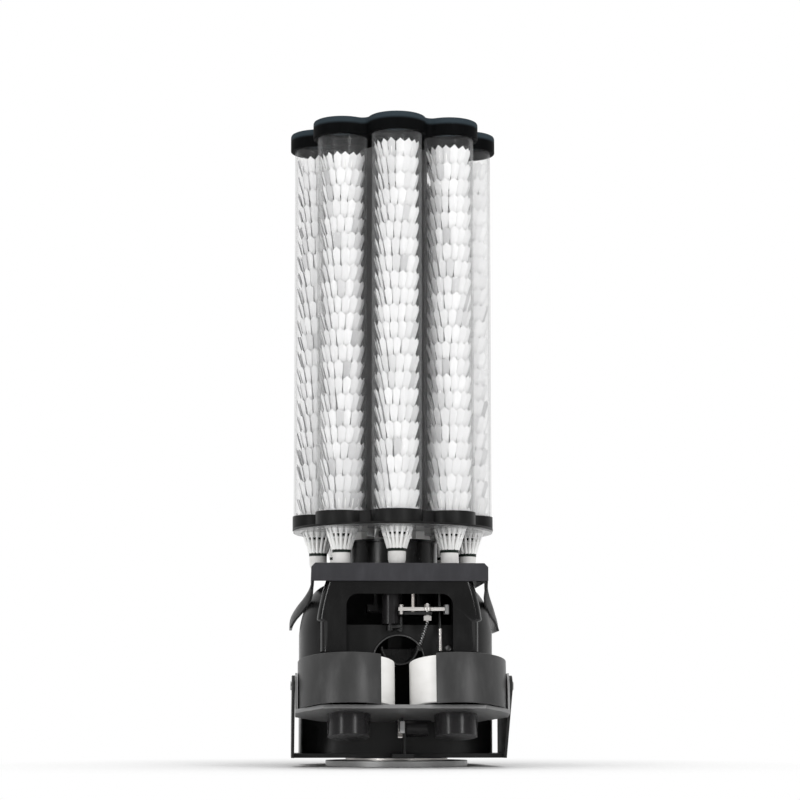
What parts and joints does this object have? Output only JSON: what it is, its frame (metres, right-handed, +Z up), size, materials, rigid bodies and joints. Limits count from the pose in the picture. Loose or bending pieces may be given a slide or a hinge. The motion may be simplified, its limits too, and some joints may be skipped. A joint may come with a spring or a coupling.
{
  "type": "badminton shuttlecock machine head",
  "caption": "Shuttlecock launcher head: carousel of clear magazine tubes over a deck, a black shell with the feed linkage in its arch, and two launch wheels on a tilting cradle",
  "frame": {"origin": "centre of the underside of the base flange, on the yaw axis", "axes": "+Z up along the magazine tubes; -Y is the launching direction, the front; +X is the right seen from the front camera"},
  "size_m": [0.304, 0.466, 0.9305],
  "materials": {
    "base_flange": "satin",
    "yaw_bearing": "satin",
    "chassis": "satin",
    "deck": "satin",
    "side_wing_left": "satin",
    "side_wing_right": "satin",
    "front_shell": "gloss",
    "rear_housing": "satin",
    "feed_bezel": "satin",
    "carousel_drum": "satin",
    "glide_block_1": "satin",
    "glide_block_2": "satin",
    "glide_block_3": "satin",
    "glide_block_4": "satin",
    "carousel_gearmotor": "satin",
    "feed_gearmotor": "satin",
    "stay_bar": "satin",
    "pivot_block": "polished",
    "return_spring": "polished",
    "guide_rod": "polished",
    "pitch_gearmotor": "satin",
    "top_cap": "satin",
    "tube_1": "gloss",
    "tube_2": "gloss",
    "tube_3": "gloss",
    "tube_4": "gloss",
    "tube_5": "gloss",
    "tube_6": "gloss",
    "tube_7": "gloss",
    "tube_8": "gloss",
    "shuttle_stack_1": "matte",
    "shuttle_stack_2": "matte",
    "shuttle_stack_3": "matte",
    "shuttle_stack_4": "matte",
    "shuttle_stack_5": "matte",
    "shuttle_stack_6": "matte",
    "shuttle_stack_7": "matte",
    "shuttle_stack_8": "matte",
    "centre_column": "satin",
    "bottom_ring": "satin",
    "retaining_disc": "gloss",
    "carousel_hub": "satin",
    "carousel_pinion": "satin",
    "cradle": "satin",
    "wheel_guard_left": "satin",
    "wheel_guard_right": "satin",
    "wheel_motor_left": "satin",
    "wheel_motor_right": "satin",
    "pitch_pinion": "satin",
    "wheel_tyre_left": "matte",
    "wheel_hub_left": "satin",
    "wheel_tyre_right": "matte",
    "wheel_hub_right": "satin",
    "feed_trough": "satin",
    "claw_carrier": "satin",
    "claw_left": "satin",
    "claw_right": "satin",
    "rocker_bar": "polished",
    "rocker_knob": "polished",
    "feed_crank": "satin"
  },
  "bodies": {
    "base": {"base_flange": "base_flange", "yaw_bearing": "yaw_bearing"},
    "head": {"chassis": "chassis", "deck": "deck", "side_wing_left": "side_wing_left", "side_wing_right": "side_wing_right", "front_shell": "front_shell", "rear_housing": "rear_housing", "feed_bezel": "feed_bezel", "carousel_drum": "carousel_drum", "glide_block_1": "glide_block_1", "glide_block_2": "glide_block_2", "glide_block_3": "glide_block_3", "glide_block_4": "glide_block_4", "carousel_gearmotor": "carousel_gearmotor", "feed_gearmotor": "feed_gearmotor", "stay_bar": "stay_bar", "pivot_block": "pivot_block", "return_spring": "return_spring", "guide_rod": "guide_rod", "pitch_gearmotor": "pitch_gearmotor"},
    "carousel": {"top_cap": "top_cap", "tube_1": "tube_1", "tube_2": "tube_2", "tube_3": "tube_3", "tube_4": "tube_4", "tube_5": "tube_5", "tube_6": "tube_6", "tube_7": "tube_7", "tube_8": "tube_8", "shuttle_stack_1": "shuttle_stack_1", "shuttle_stack_2": "shuttle_stack_2", "shuttle_stack_3": "shuttle_stack_3", "shuttle_stack_4": "shuttle_stack_4", "shuttle_stack_5": "shuttle_stack_5", "shuttle_stack_6": "shuttle_stack_6", "shuttle_stack_7": "shuttle_stack_7", "shuttle_stack_8": "shuttle_stack_8", "centre_column": "centre_column", "bottom_ring": "bottom_ring", "retaining_disc": "retaining_disc", "carousel_hub": "carousel_hub"},
    "carousel_pinion": {"carousel_pinion": "carousel_pinion"},
    "launcher": {"cradle": "cradle", "wheel_guard_left": "wheel_guard_left", "wheel_guard_right": "wheel_guard_right", "wheel_motor_left": "wheel_motor_left", "wheel_motor_right": "wheel_motor_right"},
    "pitch_pinion": {"pitch_pinion": "pitch_pinion"},
    "wheel_left": {"wheel_tyre_left": "wheel_tyre_left", "wheel_hub_left": "wheel_hub_left"},
    "wheel_right": {"wheel_tyre_right": "wheel_tyre_right", "wheel_hub_right": "wheel_hub_right"},
    "trough": {"feed_trough": "feed_trough"},
    "claw_carriage": {"claw_carrier": "claw_carrier"},
    "claw_left": {"claw_left": "claw_left"},
    "claw_right": {"claw_right": "claw_right"},
    "rocker": {"rocker_bar": "rocker_bar", "rocker_knob": "rocker_knob"},
    "crank": {"feed_crank": "feed_crank"}
  },
  "joints": [
    {"name": "head_yaw", "type": "hinge", "parent": "base", "child": "head", "pos_m": [0, 0, 0.01], "axis": [0, 0, 1], "range_deg": [-16.5, 16.5]},
    {"name": "carousel_spin", "type": "hinge", "parent": "head", "child": "carousel", "pos_m": [0, 0.1, 0.339], "axis": [0, 0, 1], "continuous": true},
    {"name": "carousel_pinion_spin", "type": "hinge", "parent": "head", "child": "carousel_pinion", "pos_m": [0.042, 0.1, 0.294], "axis": [0, 0, 1], "continuous": true},
    {"name": "launcher_pitch", "type": "hinge", "parent": "head", "child": "launcher", "pos_m": [0, -0.14, 0.11], "axis": [-1, 0, 0], "range_deg": [-20, 25]},
    {"name": "pitch_pinion_spin", "type": "hinge", "parent": "head", "child": "pitch_pinion", "pos_m": [0, -0.09243, 0.05331], "axis": [-1, 0, 0], "range_deg": [-132, 106]},
    {"name": "wheel_left_spin", "type": "hinge", "parent": "launcher", "child": "wheel_left", "pos_m": [-0.0721, -0.14, 0.11], "axis": [0, 0.1736, 0.9848], "continuous": true},
    {"name": "wheel_right_spin", "type": "hinge", "parent": "launcher", "child": "wheel_right", "pos_m": [0.0721, -0.14, 0.11], "axis": [0, 0.1736, 0.9848], "continuous": true},
    {"name": "trough_tilt", "type": "hinge", "parent": "head", "child": "trough", "pos_m": [0, 0.032, 0.15], "axis": [1, 0, 0], "range_deg": [0, 17]},
    {"name": "claw_lift", "type": "slide", "parent": "head", "child": "claw_carriage", "axis": [0, 0, 1], "range_m": [0, 0.04]},
    {"name": "claw_left_close", "type": "hinge", "parent": "claw_carriage", "child": "claw_left", "pos_m": [-0.031, -0.0095, 0.221], "axis": [0, 1, 0], "range_deg": [0, 34]},
    {"name": "claw_right_close", "type": "hinge", "parent": "claw_carriage", "child": "claw_right", "pos_m": [0.031, -0.0095, 0.221], "axis": [0, -1, 0], "range_deg": [0, 34]},
    {"name": "rocker_swing", "type": "hinge", "parent": "head", "child": "rocker", "pos_m": [0.0386, -0.077, 0.217], "axis": [0, 0, 1], "range_deg": [0, 8]},
    {"name": "crank_swing", "type": "hinge", "parent": "head", "child": "crank", "pos_m": [-0.012, -0.066, 0.191], "axis": [0, 0, 1], "range_deg": [-21, 1]}
  ],
  "couplings": [
    {"joint": "carousel_pinion_spin", "follows": "carousel_spin", "ratio": -2.5},
    {"joint": "pitch_pinion_spin", "follows": "launcher_pitch", "ratio": -5.1667},
    {"joint": "claw_left_close", "follows": "claw_right_close", "ratio": 1},
    {"joint": "crank_swing", "follows": "rocker_swing", "ratio": -2.5}
  ]
}
